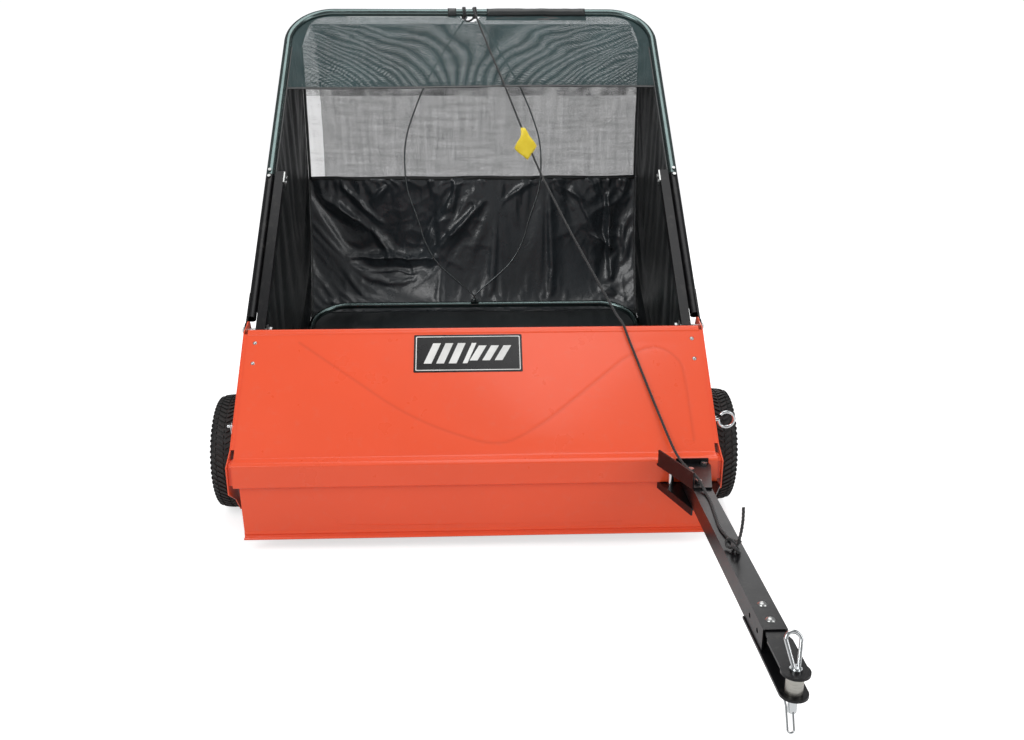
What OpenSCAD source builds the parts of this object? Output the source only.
// Tow-behind lawn sweeper: sweeping housing on two geared wheels, cylindrical
// brush, drawbar with clevis, and a tilting fabric hopper on a tube frame.
// Origin: ground level, mid-plane, halfway between the drawbar tip and the
// back of the hopper. -Y points to the tractor, +Y to the hopper, +Z up.
// Left pieces lie at -X and right pieces at +X.

/* [Overall] */
// Distance of the wheel axle line behind the origin
axle_y = 55; // [55:1:55]
// Outside half-width over the two side plates
plate_x = 600; // [600:1:600]
// Sheet thickness of the side plates
plate_thick = 2.5; // [1.5:0.1:3]

/* [Wheels] */
// Tyre radius (12 inch wheel)
tyre_r = 152.4; // [152.4:0.1:152.4]
// Inner face of the tyre, from the mid-plane
tyre_x = 609; // [609:1:609]
// Tyre width
tyre_width = 75; // [75:1:75]
// Axle bolt radius, also that of the brush shaft
axle_r = 8; // [8:0.1:8]
// Radial running clearance in the bushes
run_gap = 0.05; // [0.03:0.01:0.08]

/* [Gears] */
// Gear module
gear_module = 2.5; // [2.5:0.1:2.5]
// Teeth of the ring gear moulded in the wheel
ring_teeth = 80; // [80:1:80]
// Teeth of the pinion on the brush shaft
pinion_teeth = 16; // [16:1:16]

/* [Brush] */
// Brush radius over the bristle tips
brush_r = 139; // [130:1:139]
// Half of the sweeping width (44 inch)
brush_x = 559; // [540:1:560]
// Number of bristle strips
strip_count = 6; // [6:1:6]

/* [Housing] */
// Sheet thickness of the cover and apron
sheet_thick = 2; // [1.2:0.1:2]
// Half-width of the cover
cover_x = 588; // [580:1:590]
// Half-width of the apron
apron_x = 575; // [565:1:580]

/* [Hopper frame] */
// Height of the hopper pivot
pivot_z = 478; // [478:1:478]
// Pivot distance behind the axle
pivot_y = 40; // [40:1:40]
// Slope of the side tubes
slope_angle = 40; // [39:0.5:41]
// Side tube radius
tube_r = 12.5; // [12.5:0.1:12.5]
// Length from the pivot to the top cross tube
tube_length = 1278; // [1278:1:1278]
// Bend radius of the top corners
bend_r = 140; // [120:1:150]
// Side tube axis, from the mid-plane
tube_x = 596; // [594:1:598]

/* [Drawbar] */
// Lateral offset of the drawbar
bar_x = 519; // [519:1:519]
// Drawbar tube size (1-3/4 inch square)
bar_size = 44.5; // [44.5:0.1:44.5]
// Underside of the drawbar tube
bar_z = 181; // [181:1:181]
// Tow pin from the axle line, negative is ahead of it
tow_pin_y = -1150; // [-1150:1:-1150]
// Tow pin radius (5/8 inch)
tow_pin_r = 7.9; // [7.9:0.1:7.9]

/* [Hidden] */
$fn = 48;
plate_in = plate_x - plate_thick;   // inner face of a side plate
bar_top = bar_z + bar_size;
bush_bore = axle_r + run_gap;

// the brush shaft lies one gear centre distance ahead of the axle
ring_pitch_r = gear_module * ring_teeth / 2;
pinion_pitch_r = gear_module * pinion_teeth / 2;
gear_distance = ring_pitch_r - pinion_pitch_r;
brush_y = -79.5;
brush_z = tyre_r - sqrt(gear_distance*gear_distance - brush_y*brush_y);
mesh_angle = atan2(brush_z - tyre_r, brush_y);

// axes across the machine, as [y, z]
axle = [0, tyre_r];
brush = [brush_y, brush_z];
pivot = [pivot_y, pivot_z];
adjuster = [-190, 295];

// fasteners
bolt_r = 4.5;
bolt_hole_r = 4.6;
nut_r = 8;
pivot_r = 5;
pivot_hole_r = 5.05;

// ---- frames -----------------------------------------------------------------
// axle line at y = 0, ground at z = 0
module from_axle() translate([0, axle_y, 0]) children();

// hopper plane at the pivot: x across, y up the slope, z out of it
module on_slope() translate([0, pivot_y, pivot_z]) rotate([slope_angle, 0, 0]) children();

module both() {
  children();
  mirror([1, 0, 0]) children();
}

// ---- helpers ----------------------------------------------------------------
// 2-D children in (y, z), extruded along x
module extrude_x(from, to)
  translate([from, 0, 0]) rotate([90, 0, 90]) linear_extrude(height = to - from) children();

// cylinder along x; axis is [y, z]
module x_rod(axis, radius, from, to)
  translate([from, axis[0], axis[1]]) rotate([0, 90, 0]) cylinder(r = radius, h = to - from);

// cylinder along y, drawn forward; axis is [x, z] and from is the rear end
module y_rod(axis, radius, from, to)
  translate([axis[0], from, axis[1]]) rotate([90, 0, 0]) cylinder(r = radius, h = from - to);

// cylinder along z; axis is [x, y]
module z_rod(axis, radius, from, to)
  translate([axis[0], axis[1], from]) cylinder(r = radius, h = to - from);

module bolt_holes(points, from, to)
  for (point = points) z_rod(point, bolt_hole_r, from, to);

// cylinder between two points
module rod(start, end, radius) {
  span = end - start;
  length = norm(span);
  translate(start) rotate([0, acos(span[2]/length), atan2(span[1], span[0])])
    cylinder(r = radius, h = length);
}

// solid of revolution about x; profile is [radius, x]
module revolve_x(axis, profile)
  translate([0, axis[0], axis[1]]) rotate([0, 90, 0]) rotate_extrude() polygon(profile);

module sleeve(outer, bore, height, sides = $fn) difference() {
  cylinder(r = outer, h = height, $fn = sides);
  translate([0, 0, -1]) cylinder(r = bore, h = height + 2);
}

module ring(outer, inner) difference() {
  circle(r = outer);
  circle(r = inner);
}

module wire_arc(radius, wire, sweep, sides)
  rotate_extrude(angle = sweep) translate([radius, 0]) circle(r = wire, $fn = sides);

// spherical cap on z = 0
module dome(radius, height) {
  sphere_r = (radius*radius + height*height)/(2*height);
  intersection() {
    translate([0, 0, height - sphere_r]) sphere(r = sphere_r);
    cylinder(r = radius, h = height + 1);
  }
}

// wire retaining clip: straight leg, curl, and outer leg in two runs
module r_clip(leg, wire) {
  rod([0, 0, -9], [0, 0, leg + 0.7], wire);
  translate([-wire*2.9, 0, leg]) rotate([90, 0, 0]) wire_arc(wire*2.9, wire, 180, 20);
  rod([-wire*5.8 + 0.2, 0, leg + 0.7], [-11.5, 0, 4], wire);
  rod([-11.4, 0, 4.8], [-14, 0, -9], wire);
}

// thickened polyline: left-hand offset with mitred corners
function unit(v) = v / norm(v);
function left_of(v) = [-v[1], v[0]];
function side_normal(path, i) = left_of(unit(path[i+1] - path[i]));
function offset_point(path, i, thick) =
  let(last = len(path) - 1)
  i == 0 ? path[0] + thick*side_normal(path, 0) :
  i == last ? path[last] + thick*side_normal(path, last - 1) :
  let(before = side_normal(path, i-1), after = side_normal(path, i), mitre = unit(before + after))
  path[i] + mitre * thick / (mitre * before);
module sheet(path, thick)
  polygon(concat(path, [for (i = [len(path)-1:-1:0]) offset_point(path, i, thick)]));

// ---- housing ----------------------------------------------------------------
// cover section [y, z]: hem, top edge, slope, nose land, nose band, hem
cover_path = [[3, 478], [-4, 490], [-13, 494], [-281, 242.4], [-302, 242.2], [-308, 238],
  [-310, 232], [-310, 181], [-307, 177.5], [-301, 178]];
// apron section [y, z], from the top down
apron_path = [[-268, 181.2], [-274, 181.2], [-277, 176], [-279, 110], [-284, 52],
  [-287, 40], [-294, 36]];
// nose channel section [y, z], open to the rear
channel_pts = [[-305.5, 185], [-305.5, 232], [-299, 238.5], [-268, 238.5], [-268, 235],
  [-297.5, 235], [-302, 230.5], [-302, 188.5], [-268, 188.5], [-268, 185]];
// side plate outline [y, z]
plate_pts = [[-16, 489], [-262, 259], [-300, 243], [-316, 236], [-313, 164], [-250, 124],
  [-210, 78], [-130, 42], [84, 42], [112, 82], [112, 300], [66, 462]];
// upper corner of the side plate, ahead of and behind the pivot [y, z]
plate_corner_pts = [[-16, 489], [-4, 492], [20, 496], [40, 502], [66, 480], [66, 440], [0, 440]];

cover_top = cover_path[2];
cover_foot = cover_path[3];
cover_dir = unit(cover_foot - cover_top);
cover_under = left_of(cover_dir);
cover_angle = atan2(cover_top[1] - cover_foot[1], cover_top[0] - cover_foot[0]);
cover_bolt_x = 567;
cover_bolt_drops = [40, 100];       // down the slope from its top edge

flange_x = 548;                     // inner edge of the side plate flange
flange_thick = 2;
flange_ends = [12, 340];            // down the slope from its top edge

// bolts of the drawbar hitch through the nose
nose_bolt = [bar_x, 204];                           // [x, z]
nose_holes = [[bar_x - 40, -294], [bar_x + 41, -294]];   // [x, y]

// sloping face of the cover: x across, y up the slope, z out of it
module on_cover()
  translate([0, cover_top[0], cover_top[1]]) rotate([cover_angle, 0, 0]) children();

// the cover bolts of the right side
module at_cover_bolts()
  for (drop = cover_bolt_drops) translate([cover_bolt_x, -drop, 0]) children();

module cover_bolt_holes()
  on_cover() at_cover_bolts() translate([0, 0, -12]) cylinder(r = 3.3, h = 24);

module housing_cover() color("orangered") from_axle() difference() {
  extrude_x(-cover_x, cover_x) sheet(cover_path, sheet_thick);
  y_rod(nose_bolt, bolt_hole_r, -290, -330);
  both() cover_bolt_holes();
}

module front_apron() color("orangered") from_axle()
  extrude_x(-apron_x, apron_x) sheet(apron_path, sheet_thick);

module nose_channel() color("dimgray") from_axle() difference() {
  extrude_x(-plate_in + 0.5, plate_in - 0.5) polygon(channel_pts);
  bolt_holes(nose_holes, 170, 200);
  y_rod(nose_bolt, bolt_hole_r, -290, -330);
}

module side_plate_right() color("orangered") from_axle() difference() {
  union() {
    extrude_x(plate_in, plate_x) difference() {
      union() {
        polygon(plate_pts);
        translate(pivot) circle(r = 24);
        polygon(plate_corner_pts);
      }
      translate(pivot) circle(r = pivot_r + 0.1);
      translate(axle) circle(r = axle_r + 0.1);
      translate(brush) circle(r = 20);
      translate(adjuster) circle(r = 4.3);
    }
    // inward flange under the edge of the cover
    extrude_x(flange_x, plate_in) sheet([for (end = flange_ends)
      cover_top + end*cover_dir + (sheet_thick + 0.3)*cover_under], flange_thick);
  }
  cover_bolt_holes();
}
module side_plate_left() mirror([1, 0, 0]) side_plate_right();

module cross_brace() color("dimgray") from_axle() difference() {
  brace = [-35, 436];
  x_rod(brace, 12, -plate_in + 0.1, plate_in - 0.1);
  x_rod(brace, 10, -598, 598);
}

module badge_plate() color("black") from_axle()
  on_cover() translate([-158, -133, 0.1]) cube([279, 111, 0.8]);

// domed head, shank and nut
module housing_bolts() color("silver") from_axle() both() on_cover() at_cover_bolts() {
  translate([0, 0, 0.05]) dome(5.5, 2.6);
  z_rod([0, 0], 3.1, -11, 0.5);
  z_rod([0, 0], 5.5, -11, -6, $fn = 6);
}

// ---- axles and wheels ---------------------------------------------------------
// half of the tyre section [radius, x]
tyre_pts = [[112, 616], [125, 611], [138, tyre_x], [147, 613], [151.2, 625],
  [tyre_r, tyre_x + tyre_width/2], [151.2, 668], [147, 680], [138, tyre_x + tyre_width],
  [125, 682], [112, 677]];
// hub, web and barrel [radius, x]
wheel_pts = [[12, 614], [26, 614], [26, 640], [98, 646], [106.5, 638], [106.5, 613],
  [111.9, 613], [111.9, 680], [106, 680], [104, 656], [26, 654], [26, 664], [12, 664]];
// flanged wheel bush [radius, x]
bush_pts = [[bush_bore, 613], [17, 613], [17, 613.9], [11.95, 613.9], [11.95, 664.1],
  [17, 664.1], [17, 666.5], [bush_bore, 666.5]];
// hub cap [radius, x]
cap_pts = [[24, 664.2], [29, 664.2], [29, 676], [20, 682], [0, 683], [0, 681], [19, 680],
  [24, 674]];
// flanged brush bearing [radius, x]
bearing_pts = [[bush_bore, 590], [26, 590], [26, plate_in - 0.1], [19.9, plate_in - 0.1],
  [19.9, 601], [12, 601], [12, 604], [bush_bore, 604]];

// tooth flanks [radius, width] at root, pitch circle and tip
ring_tooth = [[104.2, 4.6], [ring_pitch_r, 3.2], [98.2, 2.3]];
pinion_tooth = [[16, 5.2], [pinion_pitch_r, 3.4], [22.1, 1.8]];
module tooth(angle, flank) rotate(angle) polygon(concat(
  [for (i = [0:2]) [flank[i][0], -flank[i][1]/2]],
  [for (i = [2:-1:0]) [flank[i][0], flank[i][1]/2]]));

module axles() color("silver") from_axle() both() {
  x_rod(axle, axle_r, plate_in - 1, 677);
  x_rod(axle, 14, 586.5, plate_in - 0.1, $fn = 6);
  // shoulder washer between the plate and the wheel bush
  translate([plate_x + 0.1, 0, tyre_r]) rotate([0, 90, 0]) sleeve(14, axle_r - 0.5, 12.4);
}

module axle_nuts() color("silver") from_axle() both()
  translate([667.5, 0, tyre_r]) rotate([0, 90, 0]) sleeve(13.5, axle_r + 0.05, 8, sides = 6);

module brush_bearings() color("dimgray") from_axle() both() revolve_x(brush, bearing_pts);

module dust_covers() color("dimgray") from_axle() both() extrude_x(604.6, 606) difference() {
  translate(axle) circle(r = 104);
  translate(axle) circle(r = 14.5);
  translate(brush) circle(r = 12);
}

module tyre_right() color("black") from_axle() revolve_x(axle, tyre_pts);
module tyre_left() mirror([1, 0, 0]) tyre_right();

module wheel_right() color("dimgray") from_axle() union() {
  revolve_x(axle, wheel_pts);
  // moulded ring gear, a tooth gap facing the pinion
  extrude_x(613.5, 636) translate(axle) {
    ring(107, 103.2, $fn = 96);
    for (i = [0:ring_teeth-1]) tooth(mesh_angle + (i + 0.5)*360/ring_teeth, ring_tooth);
  }
  // stiffening ribs on the outer face
  for (i = [0:7])
    translate([0, 0, tyre_r]) rotate([i*45, 0, 0]) translate([650, -2.5, 24]) cube([14, 5, 82]);
}
module wheel_left() mirror([1, 0, 0]) wheel_right();

module bush_right() color("ivory") from_axle() revolve_x(axle, bush_pts);
module bush_left() mirror([1, 0, 0]) bush_right();

module hub_cap_right() color("black") from_axle() revolve_x(axle, cap_pts);
module hub_cap_left() mirror([1, 0, 0]) hub_cap_right();

// ---- brush --------------------------------------------------------------------
hub_thick = 6;
pinion_x = [615, 635];              // faces of the toothed part
cross_pin_x = (pinion_x[0] + pinion_x[1])/2;
cross_pin_hole_r = 2.05;

module cross_pin(radius, reach)
  z_rod([cross_pin_x, brush_y], radius, brush_z - reach, brush_z + reach);

module around_brush() translate([0, brush_y, brush_z])
  for (i = [0:strip_count-1]) rotate([i*360/strip_count, 0, 0]) children();

module brush_shaft() color("silver") from_axle() difference() {
  x_rod(brush, axle_r, -637, 637);
  both() cross_pin(cross_pin_hole_r, 20);
}

module brush_hubs() color("dimgray") from_axle() for (x = [-540, -180, 180, 540])
  translate([x - hub_thick/2, brush_y, brush_z]) rotate([0, 90, 0]) difference() {
    sleeve(44, axle_r + 0.05, hub_thick);
    for (i = [0:2]) rotate(i*120 + 30) z_rod([24, 0], 7, -1, hub_thick + 1);
  }

// channels open outwards
module brush_strip_holders() color("dimgray") from_axle() around_brush() difference() {
  translate([-brush_x, -12, 44.2]) cube([2*brush_x, 24, 14]);
  translate([-brush_x - 1, -6, 48]) cube([2*brush_x + 2, 12, 12]);
}

module brush_bristles() color("black") from_axle() around_brush()
  extrude_x(-brush_x, brush_x) polygon([[-5.8, 48.2], [5.8, 48.2], [5.8, 58.8],
    [11, brush_r - 1], [-11, brush_r - 1], [-5.8, 58.8]]);

module pinions() color("dimgray") from_axle() both() difference() {
  union() {
    extrude_x(pinion_x[0], pinion_x[1]) translate(brush) {
      circle(r = 16.9);
      for (i = [0:pinion_teeth-1]) tooth(mesh_angle + i*360/pinion_teeth, pinion_tooth);
    }
    x_rod(brush, 13, 608.5, 615.5);
  }
  x_rod(brush, axle_r + 0.03, 600, 640);
  cross_pin(cross_pin_hole_r, 30);
}

module pinion_pins() color("silver") from_axle() both() cross_pin(2, 16);

// ---- hopper pivots --------------------------------------------------------------
module pivot_bolts() color("silver") from_axle() both() {
  x_rod(pivot, pivot_r, 541, 612);
  x_rod(pivot, 9, 607.5, 614, $fn = 6);
  x_rod(pivot, 8.5, 536.5, 543.5, $fn = 6);
}

// ---- hitch ----------------------------------------------------------------------
// the upper plate butts against the nose; the lower plate reaches under it
// outlines [x, y]; the long diagonal edge joins the last point to the first
upper_plate_pts = [[438, -311.2], [564, -311.2], [566, -330], [540, -455], [495, -455]];
lower_plate_pts = [[438, -283], [588, -283], [592, -330], [537, -455], [495, -455]];
function diagonal_angle(pts) = atan2(pts[4][1] - pts[0][1], pts[4][0] - pts[0][0]);
hitch_thick = 5;
lower_plate_z = 172.4;
lower_plate_top = lower_plate_z + hitch_thick;
// bolt places [x, y]: one beside the drawbar, two through it
side_hole = [550, -323];
bar_holes = [[511, -358], [514, -428]];
hitch_holes = concat([side_hole], bar_holes);
locating_pin = [472, -323.5];
locating_hole_r = 6.6;

module hitch_plate_upper() color("black") from_axle() difference() {
  union() {
    translate([0, 0, bar_top + 0.05]) linear_extrude(height = hitch_thick)
      polygon(upper_plate_pts);
    // stiffening flange turned up along the long diagonal edge
    translate([439.6, -315.4, bar_top + 4]) rotate([0, 0, diagonal_angle(upper_plate_pts)])
      cube([150.2, 4, 37]);
    // rear edge turned up against the nose, and a tab turned down behind the drawbar
    translate([484, -315.2, bar_top + 4]) cube([79, 4, 13]);
    translate([500, -315.2, bar_top - 34]) cube([38, 4, 36]);
  }
  bolt_holes(hitch_holes, 200, 280);
  z_rod(locating_pin, locating_hole_r, 200, 280);
  y_rod(nose_bolt, bolt_hole_r, -300, -340);
}

module hitch_plate_lower() color("black") from_axle() difference() {
  union() {
    translate([0, 0, lower_plate_z]) linear_extrude(height = hitch_thick)
      polygon(lower_plate_pts);
    // flange turned down along the long diagonal edge
    translate([438, -283, 159.4]) rotate([0, 0, diagonal_angle(lower_plate_pts)])
      cube([181, 4, 15]);
  }
  bolt_holes(concat(hitch_holes, nose_holes), 150, 230);
  z_rod(locating_pin, locating_hole_r, 150, 230);
}

module hitch_spacers() color("silver") from_axle() translate([0, 0, lower_plate_top + 0.1]) {
  for (hole = bar_holes)
    translate(hole) sleeve(9, bolt_hole_r, bar_z - lower_plate_top - 0.2);
  // tubular spacer on the bolt beside the drawbar
  translate(side_hole) sleeve(7.5, bolt_hole_r, bar_top - lower_plate_top - 0.15);
}

module hitch_bolts() color("silver") from_axle() {
  for (hole = hitch_holes) {
    z_rod(hole, bolt_r, 164, bar_top + 5.2);
    z_rod(hole, nut_r, bar_top + 5.15, bar_top + 11.15, $fn = 6);
    z_rod(hole, nut_r, 165, 172.2, $fn = 6);
  }
  // lower plate to the nose channel
  for (hole = nose_holes) {
    z_rod(hole, bolt_r, 165, 196);
    z_rod(hole, nut_r, 166, 172.3, $fn = 6);
    z_rod(hole, nut_r, 188.6, 194.6, $fn = 6);
  }
  // upper plate tab to the nose channel
  y_rod(nose_bolt, bolt_r, -295, -321);
  y_rod(nose_bolt, nut_r, -315.3, -320.8, $fn = 6);
  y_rod(nose_bolt, nut_r, -295.5, -301.8, $fn = 6);
}

module hitch_locating_pin() color("silver") from_axle() {
  z_rod(locating_pin, 6.5, 166, bar_top + 8);
  z_rod(locating_pin, 9.5, bar_top + 5.15, bar_top + 9);
}

// ---- drawbar and clevis -----------------------------------------------------------
bar_wall = 3;
strap_thick = 5;
strap_r = 25;                       // rounded front ends of the straps
upper_strap_z = bar_top - bar_wall - 0.05 - strap_thick;
clevis_holes = [[bar_x, -951], [bar_x, -1003]];   // [x, y]
tow_hole = [bar_x, tow_pin_y];
tow_hole_r = tow_pin_r + 0.05;
clevis_spacer_h = (upper_strap_z - bar_z)/2;
clip_angle = 64;

// frame of the clip hole through the tow pin, z along the hole
module at_tow_clip()
  translate([bar_x, tow_pin_y, bar_z - 22]) rotate([90 + clip_angle, 0, 0]) children();

module drawbar_tube() color("black") from_axle() difference() {
  inside = bar_size - 2*bar_wall;
  translate([bar_x - bar_size/2, -1034, bar_z]) cube([bar_size, 711, bar_size]);
  translate([bar_x - inside/2, -1040, bar_z + bar_wall]) cube([inside, 760, inside]);
  bolt_holes(clevis_holes, 150, 300);
  bolt_holes(bar_holes, 150, 300);
  // spare cross holes near the front end
  for (y = [-952, -1002]) x_rod([y, bar_z + bar_size/2], 5, bar_x - 60, bar_x + 60);
}

// narrow inside the drawbar, wider ahead of it
module clevis_strap_upper() color("black") from_axle() difference() {
  tail = 18.7;
  head = 22.5;
  translate([bar_x, 0, upper_strap_z]) linear_extrude(height = strap_thick) union() {
    translate([-tail, -1120]) square([2*tail, 190]);
    polygon([[-tail, -1050], [-head, -1062], [-head, tow_pin_y],
      [head, tow_pin_y], [head, -1062], [tail, -1050]]);
    translate([0, tow_pin_y]) circle(r = strap_r);
  }
  z_rod(tow_hole, tow_hole_r, 190, 250);
  bolt_holes(clevis_holes, 180, 260);
}

module clevis_strap_lower() color("black") from_axle() difference() {
  translate([bar_x, tow_pin_y, bar_z - strap_thick - 0.05])
    linear_extrude(height = strap_thick) union() {
      translate([-strap_r, 0]) square([2*strap_r, 232]);
      circle(r = strap_r);
    }
  z_rod(tow_hole, tow_hole_r, 150, 210);
  bolt_holes(clevis_holes, 150, 210);
}

module clevis_bolts() color("silver") from_axle() for (hole = clevis_holes) {
  z_rod(hole, bolt_r, bar_z - 14, bar_top + 0.2);
  translate([hole[0], hole[1], bar_top + 0.05]) dome(9, 4.5);
  z_rod(hole, nut_r, bar_z - 13, bar_z - 5.2, $fn = 6);
}

module clevis_spacers() color("silver") from_axle() for (i = [0, 1])
  translate([bar_x, tow_pin_y, bar_z + i*clevis_spacer_h + 0.05])
    sleeve(15, tow_hole_r, clevis_spacer_h - 0.1);

// pin with a wire loop handle leaning back over the strap
module tow_pin() color("silver") from_axle() difference() {
  union() {
    z_rod(tow_hole, tow_pin_r, bar_z - 38, bar_top + 4);
    z_rod(tow_hole, 10.5, bar_top - 2.9, bar_top + 1.1);
    translate([bar_x, tow_pin_y, bar_top + 2]) rotate([-32, 0, 0]) {
      translate([0, 0, 44]) rotate([90, 0, 0]) wire_arc(13, 3.5, 180, 24);
      for (side = [1, -1]) rod([side*13, 0, 45], [side*4, 0, -1], 3.5);
    }
  }
  at_tow_clip() cylinder(r = 2.1, h = 60, center = true);
}

module tow_pin_clip() color("silver") from_axle() at_tow_clip() r_clip(42, 1.9);

// ---- adjuster ---------------------------------------------------------------------
// clips on the rod: [x, turn about z]
adjuster_clip_places = [[-607, 90], [606, -90]];

module adjuster_rod() color("silver") from_axle() difference() {
  union() {
    x_rod(adjuster, 4, -618, 615);
    // open ring bent in the end
    translate([633, adjuster[0], adjuster[1]]) rotate([90, 0, 0]) rotate(180)
      wire_arc(20, 4, 318, 24);
  }
  for (clip = adjuster_clip_places) z_rod([clip[0], adjuster[0]], 1.5, 280, 310);
}

module adjuster_clips() color("silver") from_axle() for (clip = adjuster_clip_places)
  translate([clip[0], adjuster[0], adjuster[1]]) rotate([180, 0, clip[1]]) r_clip(26, 1.2);

// ---- upper hopper frame -------------------------------------------------------------
// distances up the slope from the pivot
joint_y = 548;                      // where the top and side tubes join
joint_bolt_gap = 12;                // cross bolts either side of the joint
arm_bolt_y = [522, 542];

side_wall = 1.8;
top_wall = 1.5;
arm_x = 554;
arm_size = 25;
arm_wall = 2;
small_hole_r = 3.1;

module tube_run(from, to, wall)
  rotate([-90, 0, 0]) translate([0, 0, from]) sleeve(tube_r, tube_r - wall, to - from);

module side_tube_right() color("black") from_axle() on_slope() {
  difference() {
    translate([tube_x, 0, 0]) tube_run(36, joint_y - 0.2, side_wall);
    z_rod([tube_x, joint_y - joint_bolt_gap], small_hole_r, -20, 20);
  }
  // flattened pivot ear
  translate([plate_x + 1.6, 0, 0]) rotate([0, 90, 0]) linear_extrude(height = 5) difference() {
    union() {
      circle(r = 20);
      translate([-12.5, 0]) square([25, 114]);
    }
    circle(r = pivot_hole_r);
  }
}
module side_tube_left() mirror([1, 0, 0]) side_tube_right();

module top_tube() color("silver") from_axle() on_slope() {
  corner_x = tube_x - bend_r;
  corner_y = tube_length - bend_r;
  both() difference() {
    translate([tube_x, 0, 0]) tube_run(joint_y, corner_y, top_wall);
    z_rod([tube_x, joint_y + joint_bolt_gap], small_hole_r, -20, 20);
  }
  both() translate([corner_x, corner_y, 0]) rotate_extrude(angle = 90)
    translate([bend_r, 0]) ring(tube_r, tube_r - top_wall);
  translate([-corner_x, tube_length, 0]) rotate([0, 90, 0])
    sleeve(tube_r, tube_r - top_wall, 2*corner_x);
}

module square_arm_right() color("black") from_axle() on_slope() difference() {
  inside = arm_size - 2*arm_wall;
  translate([arm_x, -14, -arm_size/2]) cube([arm_size, 570, arm_size]);
  translate([arm_x + arm_wall, 30, -inside/2]) cube([inside, 540, inside]);
  x_rod([0, 0], pivot_hole_r, 540, 590);
}
module square_arm_left() mirror([1, 0, 0]) square_arm_right();

module arm_brackets() color("silver") from_axle() on_slope() both() difference() {
  translate([550, 512, -15]) cube([3.8, 40, 30]);
  for (y = arm_bolt_y) x_rod([y, 0], small_hole_r, 540, 560);
}

// ---- lower hopper frame -------------------------------------------------------------
// U-tube: two side runs and a raised rear bow plugged onto them
lower_r = 11;
lower_x = 561.5;
lower_bend_r = 120;
bow_rise = 22;                      // tilt of the rear bow
bow_straight = 18;                  // length ahead of the bow's bends
run_start = [112, 296];             // side run ends [y, z]
run_end = [780, 268.4];
run_angle = atan2(run_end[1] - run_start[1], run_end[0] - run_start[0]);
lower_bolt = [130, 294];            // [y, z]
lower_hole_r = 4.1;

module lower_ring() ring(lower_r, lower_r - 1.5);

module lower_frame_tube() color("silver") from_axle() difference() {
  bend_x = lower_x - lower_bend_r;
  union() {
    both() translate([lower_x, run_start[0], run_start[1]]) rotate([run_angle - 90, 0, 0])
      linear_extrude(height = norm(run_end - run_start)) lower_ring();
    translate([0, run_end[0] + 6, run_end[1] + 1]) rotate([bow_rise, 0, 0]) {
      both() translate([lower_x, 4, 0]) rotate([-90, 0, 0])
        linear_extrude(height = bow_straight - 4) lower_ring();
      both() translate([bend_x, bow_straight, 0]) rotate_extrude(angle = 90)
        translate([lower_bend_r, 0]) lower_ring();
      translate([-bend_x, bow_straight + lower_bend_r, 0]) rotate([0, 90, 0])
        linear_extrude(height = 2*bend_x) lower_ring();
    }
  }
  x_rod(lower_bolt, lower_hole_r, -600, 600);
}

// plates carrying the lower frame from the pivot line
module lower_frame_brackets() color("dimgray") from_axle() both()
  extrude_x(544.5, 549.5) difference() {
    union() {
      translate(pivot) circle(r = 16);
      polygon([pivot + [-14, -8], pivot + [15, 6], [150, 306], [140, 278], [112, 278]]);
    }
    translate(pivot) circle(r = pivot_hole_r);
    translate(lower_bolt) circle(r = lower_hole_r);
  }

module frame_bolts() color("silver") from_axle() {
  on_slope() both() {
    // cross bolts through the tube joint
    for (side = [-1, 1]) {
      hole = [tube_x, joint_y + side*joint_bolt_gap];
      z_rod(hole, 3, -17, 17);
      z_rod(hole, 5.5, 13.5, 17.5, $fn = 6);
      z_rod(hole, 5.5, -18, -14, $fn = 6);
    }
    // arm brackets
    for (y = arm_bolt_y) {
      x_rod([y, 0], 5.5, 546.2, 549.8, $fn = 6);
      x_rod([y, 0], 3, 546.2, 553.8);
    }
  }
  // lower frame
  both() {
    x_rod(lower_bolt, 4, 538, 576);
    x_rod(lower_bolt, 7, 539, 544.3, $fn = 6);
    x_rod(lower_bolt, 7, 573, 577.5, $fn = 6);
  }
}

// ---- bow rods -----------------------------------------------------------------------
// two sprung rods bowed between the lower bar and the top tube
bow_foot = [912, 340];              // [y, z]
bow_span = 930;
bow_height = 262;
bow_r = (bow_span*bow_span/4 + bow_height*bow_height)/(2*bow_height);
bow_half_angle = 0.985*asin(bow_span/2/bow_r);   // cut slightly short of the full chord

module bow_rods() color("dimgray") from_axle() for (side = [-1, 1])
  translate([side*6, bow_foot[0], bow_foot[1]])
    rotate([-5.5, 0, 0]) rotate([90, 0, 0]) rotate([0, side*-14, 0])
      translate([side*(bow_height - bow_r), bow_span/2, 0])
        rotate((side > 0 ? 0 : 180) - bow_half_angle) wire_arc(bow_r, 2.5, 2*bow_half_angle, 20);

module bow_rod_clip() color("silver") from_axle() translate([-14, 890, 332.4]) difference() {
  cube([28, 44, 4]);
  translate([8, -1, -1]) cube([2, 3, 6]);
}

// ---- hopper fabric --------------------------------------------------------------------
fabric_thick = 3;
bag_x = 577;
// [y, z] of a point of the hopper plane: distance up the slope, height out of it
function slope_point(along, out) = [
  pivot_y + along*cos(slope_angle) - out*sin(slope_angle),
  pivot_z + along*sin(slope_angle) + out*cos(slope_angle)];
// rear outline [y, z], from the top down
rear_pts = [[1016, 1266], [1040, 1225], [1056, 1070], [1065, 800], [1062, 750], [1032, 520],
  [956, 292]];
// side panel [y, z]: along the tubes, down inside the rear, then along the bottom
side_pts = concat(
  [slope_point(60, -4), slope_point(1120, -4), slope_point(1132, -15), [1000, 1261]],
  [for (i = [1:6]) rear_pts[i] - [6, 0]],
  [[800, 226], [450, 196], [150, 196], [96, 300]]);
// right half of the top mesh [x, up the slope]
top_mesh_pts = [[574, 922], [574, 1130], [548, 1200], [500, 1240], [440, 1252]];

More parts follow.
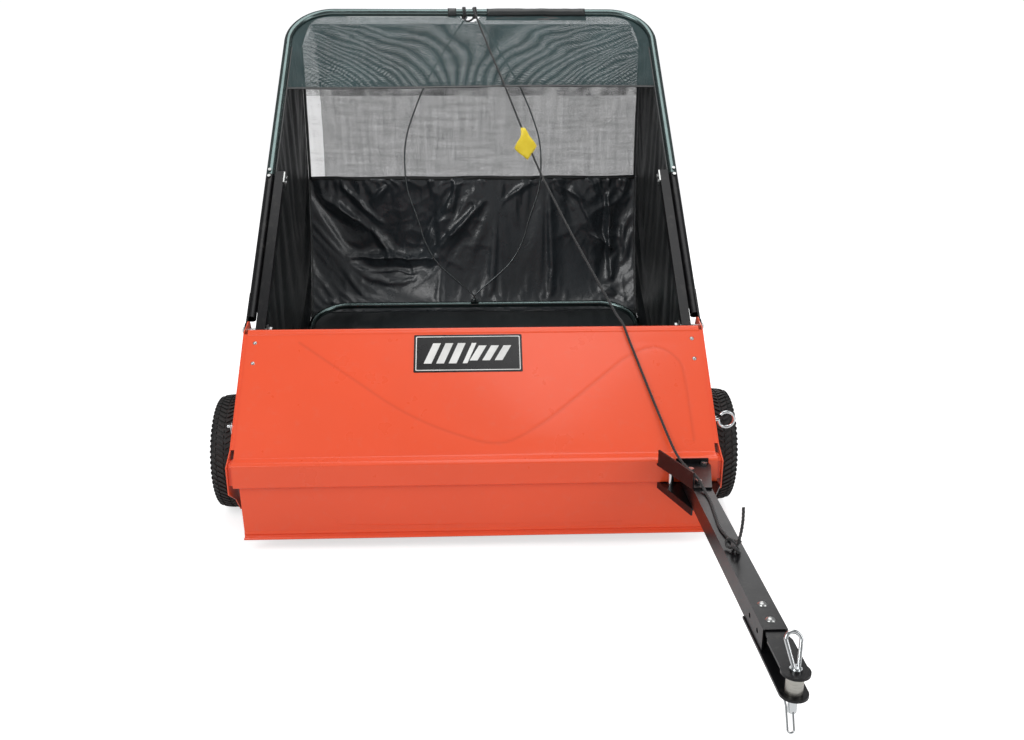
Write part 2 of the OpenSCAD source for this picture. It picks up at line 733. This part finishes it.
module bag_side_right() color("black") from_axle() extrude_x(579.8, 582.4) polygon(side_pts);
module bag_side_left() mirror([1, 0, 0]) bag_side_right();

module bag_rear_vinyl() color("black") from_axle() extrude_x(-bag_x, bag_x)
  sheet([[1062, 749], rear_pts[5], rear_pts[6]], -fabric_thick);

module bag_rear_mesh() color("gray") from_axle() extrude_x(-bag_x, bag_x)
  sheet(concat([for (i = [0:3]) rear_pts[i]], [[1062.2, 751.5]]), -fabric_thick);

module bag_top_mesh() color("darkslategray") from_axle() on_slope()
  translate([0, 0, -6]) linear_extrude(height = fabric_thick) polygon(concat(top_mesh_pts,
    [for (i = [len(top_mesh_pts)-1:-1:0]) [-top_mesh_pts[i][0], top_mesh_pts[i][1]]]));

module bag_floor() color("black") from_axle() extrude_x(-bag_x, bag_x)
  sheet([[150, 199], [450, 199], [800, 229], [950, 286]], fabric_thick);

// ---- dump rope --------------------------------------------------------------------------
// [x, y, z] from the top tube to the drawbar
rope_pts = [[2, 1008, 1318], [98, 746, 1077], [195, 497, 846], [292, 241, 658],
  [388, -14, 503.5], [492, -330, 246], [517, -440, 241], [519, -500, 229.4],
  [519, -755, 232.2]];

module dump_rope() color("black") from_axle() union() {
  last = len(rope_pts) - 1;
  for (i = [0:last-1]) rod(rope_pts[i], rope_pts[i+1], 3);
  // rounded corners, and a knot at the front end
  for (i = [1:last]) translate(rope_pts[i]) sphere(r = i == last ? 6.4 : 3.3, $fn = 24);
}

module rope_tag() color("gold") from_axle() translate([165, 495, 880]) rotate([72, 0, 0])
  linear_extrude(height = 0.6)
    polygon([[-6, 50], [5, 50], [9, 26], [30, -6], [3, -50], [-28, -12], [-9, 22]]);

housing_cover();
front_apron();
nose_channel();
side_plate_left();
side_plate_right();
cross_brace();
badge_plate();
housing_bolts();
axles();
axle_nuts();
brush_bearings();
dust_covers();
pivot_bolts();
hitch_plate_upper();
hitch_plate_lower();
hitch_spacers();
hitch_bolts();
hitch_locating_pin();
drawbar_tube();
clevis_strap_upper();
clevis_strap_lower();
clevis_bolts();
clevis_spacers();
tow_pin();
tow_pin_clip();
adjuster_rod();
adjuster_clips();
wheel_left();
tyre_left();
bush_left();
hub_cap_left();
wheel_right();
tyre_right();
bush_right();
hub_cap_right();
brush_shaft();
brush_hubs();
brush_strip_holders();
brush_bristles();
pinions();
pinion_pins();
top_tube();
side_tube_left();
side_tube_right();
square_arm_left();
square_arm_right();
lower_frame_tube();
lower_frame_brackets();
arm_brackets();
frame_bolts();
bow_rods();
bow_rod_clip();
bag_side_left();
bag_side_right();
bag_rear_vinyl();
bag_rear_mesh();
bag_top_mesh();
bag_floor();
dump_rope();
rope_tag();
